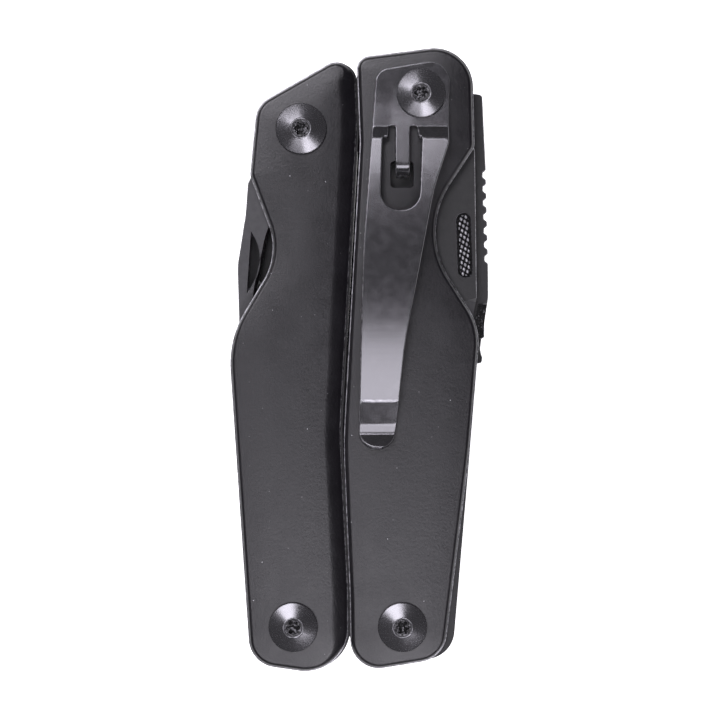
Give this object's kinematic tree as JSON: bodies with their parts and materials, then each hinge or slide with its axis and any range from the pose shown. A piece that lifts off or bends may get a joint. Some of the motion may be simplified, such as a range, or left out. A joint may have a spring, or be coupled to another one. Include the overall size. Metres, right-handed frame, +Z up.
{
  "type": "multi tool",
  "caption": "Closed folding multi tool: pliers folded between two black scaled handles, outward opening blades, file, saw, drivers and openers, and a pocket clip.",
  "frame": {"origin": "middle of the underside of the closed tool, lying on its front scales with the clip up", "axes": "+X towards the handle that carries the clip, +Y along the closed tool from the pliers pivots to the tool pivots, +Z up through the clip side"},
  "size_m": [0.044, 0.1052, 0.0206],
  "materials": {
    "scale": "matte black coating, finely mottled",
    "liner": "satin black oxide",
    "clip": "satin black coating",
    "fastener": "turned and blackened, glossier than the scales",
    "tool": "satin black oxide on ground steel",
    "jaw": "black oxide on forged steel",
    "spring_steel": "plain rolled spring steel"
  },
  "bodies": {
    "clip_handle": {"right_back_scale": "scale", "right_front_scale": "scale", "right_back_liner": "liner", "right_front_liner": "liner", "right_comb_spring": "spring_steel", "right_comb_pin": "spring_steel", "right_standoff": "spring_steel", "right_tool_barrel": "fastener", "right_pliers_barrel": "fastener", "right_tool_screw": "fastener", "right_pliers_screw": "fastener", "right_tool_washer_1": "spring_steel", "right_tool_washer_2": "spring_steel", "right_tool_washer_3": "spring_steel", "right_tool_washer_4": "spring_steel", "right_tang_washer_front": "spring_steel", "right_tang_washer_back": "spring_steel", "pocket_clip": "clip"},
    "jaw_right": {"jaw_right": "jaw", "jaw_pin": "jaw"},
    "jaw_left": {"jaw_left": "jaw"},
    "plain_handle": {"left_back_scale": "scale", "left_front_scale": "scale", "left_back_liner": "liner", "left_front_liner": "liner", "left_comb_spring": "spring_steel", "left_comb_pin": "spring_steel", "left_standoff": "spring_steel", "left_tool_barrel": "fastener", "left_pliers_barrel": "fastener", "left_tool_screw": "fastener", "left_pliers_screw": "fastener", "left_tool_washer_1": "spring_steel", "left_tool_washer_2": "spring_steel", "left_tool_washer_3": "spring_steel", "left_tang_washer_front": "spring_steel", "left_tang_washer_back": "spring_steel"},
    "plain_blade": {"plain_blade": "tool"},
    "jimped_blade": {"jimped_blade": "tool"},
    "metal_file": {"metal_file": "tool"},
    "wood_saw": {"wood_saw": "tool"},
    "flat_driver": {"flat_driver": "tool"},
    "awl": {"awl": "tool"},
    "can_opener": {"can_opener": "tool"},
    "phillips_driver": {"phillips_driver": "tool"},
    "small_driver": {"small_driver": "tool"}
  },
  "joints": [
    {"name": "clip_handle_fold", "type": "hinge", "parent": "clip_handle", "child": "jaw_right", "pos_m": [0.00717, -0.045, 0.0085], "axis": [0, 0, 1], "range_deg": [0, 172]},
    {"name": "jaw_open", "type": "hinge", "parent": "jaw_right", "child": "jaw_left", "pos_m": [-0.00203, -0.036, 0.0085], "axis": [0, 0, 1], "range_deg": [-24, 0]},
    {"name": "plain_handle_fold", "type": "hinge", "parent": "jaw_left", "child": "plain_handle", "pos_m": [-0.01124, -0.045, 0.0085], "axis": [0, 0, 1], "range_deg": [0, 172]},
    {"name": "plain_blade_hinge", "type": "hinge", "parent": "clip_handle", "child": "plain_blade", "pos_m": [0.01023, 0.04478, 0.0085], "axis": [0, 0, 1], "range_deg": [0, 175]},
    {"name": "jimped_blade_hinge", "type": "hinge", "parent": "clip_handle", "child": "jimped_blade", "pos_m": [0.01023, 0.04478, 0.0085], "axis": [0, 0, 1], "range_deg": [0, 175]},
    {"name": "metal_file_hinge", "type": "hinge", "parent": "clip_handle", "child": "metal_file", "pos_m": [0.01023, 0.04478, 0.0085], "axis": [0, 0, 1], "range_deg": [0, 175]},
    {"name": "wood_saw_hinge", "type": "hinge", "parent": "clip_handle", "child": "wood_saw", "pos_m": [0.01023, 0.04478, 0.0085], "axis": [0, 0, 1], "range_deg": [0, 175]},
    {"name": "flat_driver_hinge", "type": "hinge", "parent": "clip_handle", "child": "flat_driver", "pos_m": [0.01023, 0.04478, 0.0085], "axis": [0, 0, 1], "range_deg": [0, 175]},
    {"name": "awl_hinge", "type": "hinge", "parent": "plain_handle", "child": "awl", "pos_m": [-0.00993, 0.03896, 0.0085], "axis": [0, 0, 1], "range_deg": [-175, 0]},
    {"name": "can_opener_hinge", "type": "hinge", "parent": "plain_handle", "child": "can_opener", "pos_m": [-0.00993, 0.03896, 0.0085], "axis": [0, 0, 1], "range_deg": [-175, 0]},
    {"name": "phillips_driver_hinge", "type": "hinge", "parent": "plain_handle", "child": "phillips_driver", "pos_m": [-0.00993, 0.03896, 0.0085], "axis": [0, 0, 1], "range_deg": [-175, 0]},
    {"name": "small_driver_hinge", "type": "hinge", "parent": "plain_handle", "child": "small_driver", "pos_m": [-0.00993, 0.03896, 0.0085], "axis": [0, 0, 1], "range_deg": [-175, 0]}
  ],
  "couplings": [
    {"joint": "jaw_open", "follows": "clip_handle_fold", "ratio": -0.1395},
    {"joint": "plain_handle_fold", "follows": "clip_handle_fold", "ratio": 1}
  ]
}
